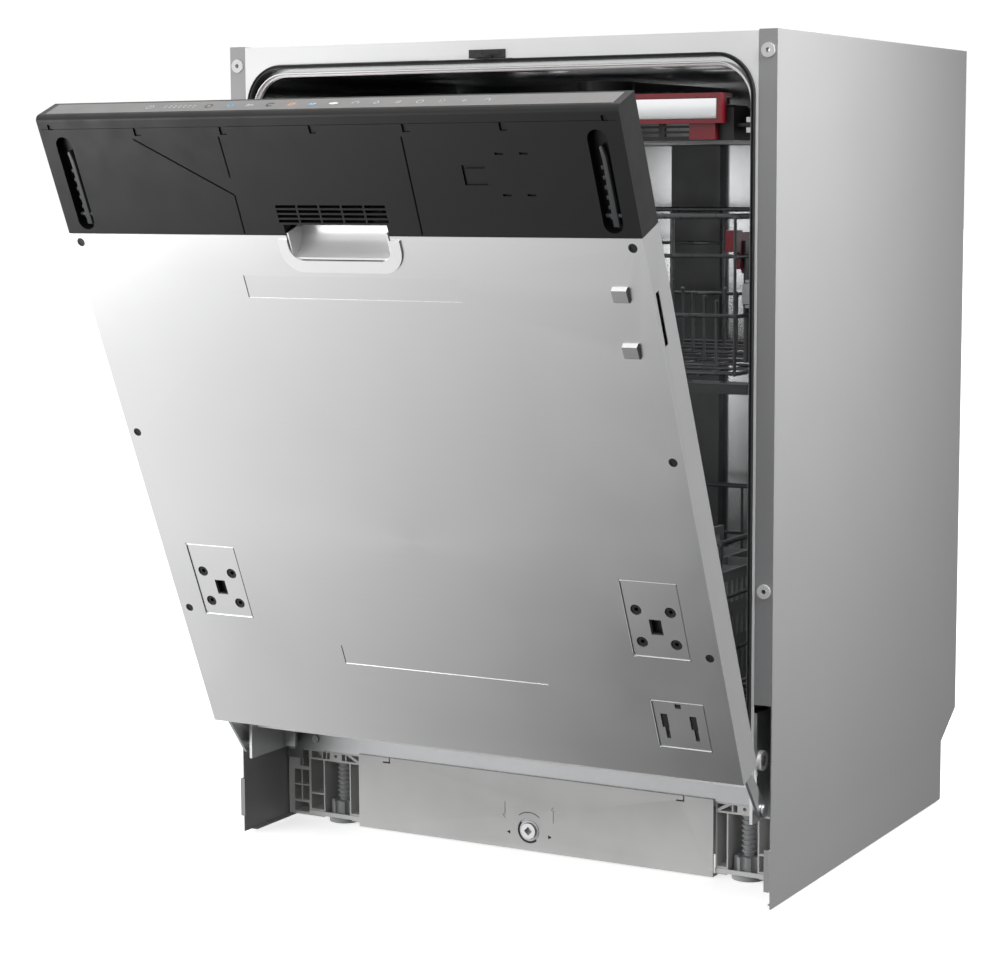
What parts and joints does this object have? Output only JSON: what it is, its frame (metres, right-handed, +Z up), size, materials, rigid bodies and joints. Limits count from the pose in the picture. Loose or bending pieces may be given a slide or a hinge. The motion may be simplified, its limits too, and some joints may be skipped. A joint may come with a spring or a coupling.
{
  "type": "built-in dishwasher",
  "caption": "Fully integrated 60 cm dishwasher with a tilting front-loading door, sliding baskets, cutlery tray, spray arms and adjustable feet.",
  "frame": {"origin": "on the floor under the middle of the machine as stored, with the door ajar", "axes": "+Z up, +X to the right seen from the front, +Y from the door towards the wall"},
  "size_m": [0.598, 0.8283, 0.815],
  "materials": {
    "panel_steel": "satin galvanised and painted sheet",
    "door_steel": "fine brushed, satin",
    "tub_steel": "bright stainless",
    "frame_paint": "smooth light grey paint",
    "galvanised": "galvanised",
    "head_plastic": "fine textured dark grey plastic",
    "strip_plastic": "touch strip, soft gloss",
    "black_plastic": "black technical plastic",
    "grey_plastic": "grey polypropylene",
    "dark_grey_plastic": "dark grey polypropylene",
    "white_plastic": "white polypropylene",
    "red_plastic": "dark red plastic, soft gloss",
    "rubber": "seal rubber",
    "rack_wire": "nylon coated wire",
    "spring_steel": "oiled spring steel",
    "board": "circuit board"
  },
  "bodies": {
    "cabinet": {"side_panel_left": "panel_steel", "side_panel_right": "panel_steel", "front_frame": "frame_paint", "door_seal": "rubber", "tub_wrap": "tub_steel", "tub_back": "tub_steel", "tub_floor": "grey_plastic", "back_panel": "panel_steel", "base_tray": "grey_plastic", "front_crossbar": "galvanised", "kick_plate": "grey_plastic", "foot_housings": "grey_plastic", "sump": "dark_grey_plastic", "circulation_pump": "dark_grey_plastic", "drain_pump": "dark_grey_plastic", "flow_heater": "tub_steel", "water_softener": "white_plastic", "inlet_valve": "white_plastic", "air_break_chamber": "white_plastic", "junction_box": "white_plastic", "water_feed_pipe": "dark_grey_plastic", "latch_striker": "black_plastic", "hinge_brackets": "galvanised", "door_springs": "spring_steel", "slide_rails": "tub_steel", "cabinet_fasteners": "white_plastic", "filter_plate": "tub_steel"},
    "door": {"door_outer_panel": "door_steel", "door_liner": "tub_steel", "control_panel": "head_plastic", "touch_strip": "strip_plastic", "handle_cup": "door_steel", "fixing_inserts": "black_plastic", "dispenser_body": "white_plastic", "door_lock": "black_plastic", "control_board": "board", "door_screws": "black_plastic", "hinge_arms": "galvanised"},
    "detergent_lid": {"detergent_lid": "grey_plastic"},
    "rinse_aid_cap": {"rinse_aid_cap": "dark_grey_plastic"},
    "latch_catch": {"latch_catch": "red_plastic"},
    "cutlery_tray": {"cutlery_tray": "dark_grey_plastic", "tray_handle": "red_plastic"},
    "upper_runners": {"upper_runners": "tub_steel"},
    "upper_basket": {"upper_basket": "rack_wire"},
    "height_levers": {"height_levers": "red_plastic"},
    "upper_spray_arm": {"upper_spray_arm": "dark_grey_plastic"},
    "lower_basket": {"lower_basket": "rack_wire"},
    "cutlery_basket": {"cutlery_basket": "grey_plastic"},
    "folding_tines": {"folding_tines": "rack_wire"},
    "lower_wheels_front": {"lower_wheels_front": "grey_plastic"},
    "lower_wheels_rear": {"lower_wheels_rear": "grey_plastic"},
    "lower_spray_arm": {"lower_spray_arm": "dark_grey_plastic"},
    "ceiling_spray_arm": {"ceiling_spray_arm": "dark_grey_plastic"},
    "filter_cylinder": {"filter_cylinder": "tub_steel"},
    "salt_cap": {"salt_cap": "white_plastic"},
    "front_foot_left": {"front_foot_left": "dark_grey_plastic"},
    "front_foot_right": {"front_foot_right": "dark_grey_plastic"},
    "rear_foot": {"rear_foot": "dark_grey_plastic"},
    "rear_adjuster": {"rear_adjuster": "galvanised"}
  },
  "joints": [
    {"name": "door_hinge", "type": "hinge", "parent": "cabinet", "child": "door", "pos_m": [0, -0.10506, 0.097], "axis": [1, 0, 0], "range_deg": [-23, 67]},
    {"name": "detergent_lid_hinge", "type": "hinge", "parent": "door", "child": "detergent_lid", "pos_m": [-0.028, -0.18942, 0.37406], "axis": [-1, 0, 0], "range_deg": [0, 95]},
    {"name": "rinse_aid_cap_turn", "type": "hinge", "parent": "door", "child": "rinse_aid_cap", "pos_m": [0.078, -0.21891, 0.43433], "axis": [0, 0.9205, 0.3907], "range_deg": [0, 90]},
    {"name": "latch_catch_pivot", "type": "hinge", "parent": "door", "child": "latch_catch", "pos_m": [0, -0.39061, 0.72494], "axis": [1, 0, 0], "range_deg": [0, 8], "stiffness_Nm_per_rad": 0.05},
    {"name": "cutlery_tray_slide", "type": "slide", "parent": "cabinet", "child": "cutlery_tray", "axis": [0, -1, 0], "range_m": [-0.0545, 0.36]},
    {"name": "upper_runner_slide", "type": "slide", "parent": "cabinet", "child": "upper_runners", "axis": [0, -1, 0], "range_m": [-0.0545, 0.39]},
    {"name": "upper_basket_height", "type": "slide", "parent": "upper_runners", "child": "upper_basket", "axis": [0, 0, 1], "range_m": [0, 0.04]},
    {"name": "height_lever_press", "type": "hinge", "parent": "upper_basket", "child": "height_levers", "pos_m": [0, -0.05106, 0.6], "axis": [1, 0, 0], "range_deg": [0, 12], "stiffness_Nm_per_rad": 0.4},
    {"name": "upper_spray_arm_spin", "type": "hinge", "parent": "upper_basket", "child": "upper_spray_arm", "pos_m": [0, 0.10894, 0.47], "axis": [0, 0, 1], "continuous": true},
    {"name": "lower_basket_slide", "type": "slide", "parent": "cabinet", "child": "lower_basket", "axis": [0, -1, 0], "range_m": [-0.0325, 0.45]},
    {"name": "cutlery_basket_lift", "type": "slide", "parent": "lower_basket", "child": "cutlery_basket", "axis": [0, 0, 1], "range_m": [0, 0.11]},
    {"name": "folding_tines_hinge", "type": "hinge", "parent": "lower_basket", "child": "folding_tines", "pos_m": [0, 0.22094, 0.192], "axis": [-1, 0, 0], "range_deg": [0, 80]},
    {"name": "lower_wheels_front_roll", "type": "hinge", "parent": "lower_basket", "child": "lower_wheels_front", "pos_m": [0, -0.03106, 0.1513], "axis": [1, 0, 0], "range_deg": [-105, 1440]},
    {"name": "lower_wheels_rear_roll", "type": "hinge", "parent": "lower_basket", "child": "lower_wheels_rear", "pos_m": [0, 0.26494, 0.1513], "axis": [1, 0, 0], "range_deg": [-105, 1440]},
    {"name": "lower_spray_arm_spin", "type": "hinge", "parent": "cabinet", "child": "lower_spray_arm", "pos_m": [0, 0.14694, 0.15], "axis": [0, 0, 1], "continuous": true},
    {"name": "ceiling_spray_arm_spin", "type": "hinge", "parent": "cabinet", "child": "ceiling_spray_arm", "pos_m": [0, 0.14694, 0.763], "axis": [0, 0, 1], "continuous": true},
    {"name": "filter_bayonet", "type": "hinge", "parent": "cabinet", "child": "filter_cylinder", "pos_m": [0.052, 0.18094, 0.128], "axis": [0, 0, 1], "range_deg": [0, 40]},
    {"name": "salt_cap_turn", "type": "hinge", "parent": "cabinet", "child": "salt_cap", "pos_m": [-0.165, 0.05694, 0.132], "axis": [0, 0, 1], "range_deg": [0, 540]},
    {"name": "front_foot_left_height", "type": "slide", "parent": "cabinet", "child": "front_foot_left", "axis": [0, 0, -1], "range_m": [0, 0.05]},
    {"name": "front_foot_right_height", "type": "slide", "parent": "cabinet", "child": "front_foot_right", "axis": [0, 0, -1], "range_m": [0, 0.05]},
    {"name": "rear_adjuster_turn", "type": "hinge", "parent": "cabinet", "child": "rear_adjuster", "pos_m": [0, 0.14694, 0.022], "axis": [0, -1, 0], "range_deg": [0, 3600]},
    {"name": "rear_foot_height", "type": "slide", "parent": "cabinet", "child": "rear_foot", "axis": [0, 0, -1], "range_m": [0, 0.05]}
  ],
  "couplings": [
    {"joint": "cutlery_tray_slide", "follows": "door_hinge", "m_per_rad": 0.135},
    {"joint": "upper_runner_slide", "follows": "door_hinge", "m_per_rad": 0.135},
    {"joint": "lower_basket_slide", "follows": "door_hinge", "m_per_rad": 0.08},
    {"joint": "lower_wheels_front_roll", "follows": "door_hinge", "ratio": 4.4444},
    {"joint": "lower_wheels_rear_roll", "follows": "door_hinge", "ratio": 4.4444},
    {"joint": "rear_foot_height", "follows": "rear_adjuster_turn", "m_per_rad": 0.00079577}
  ]
}
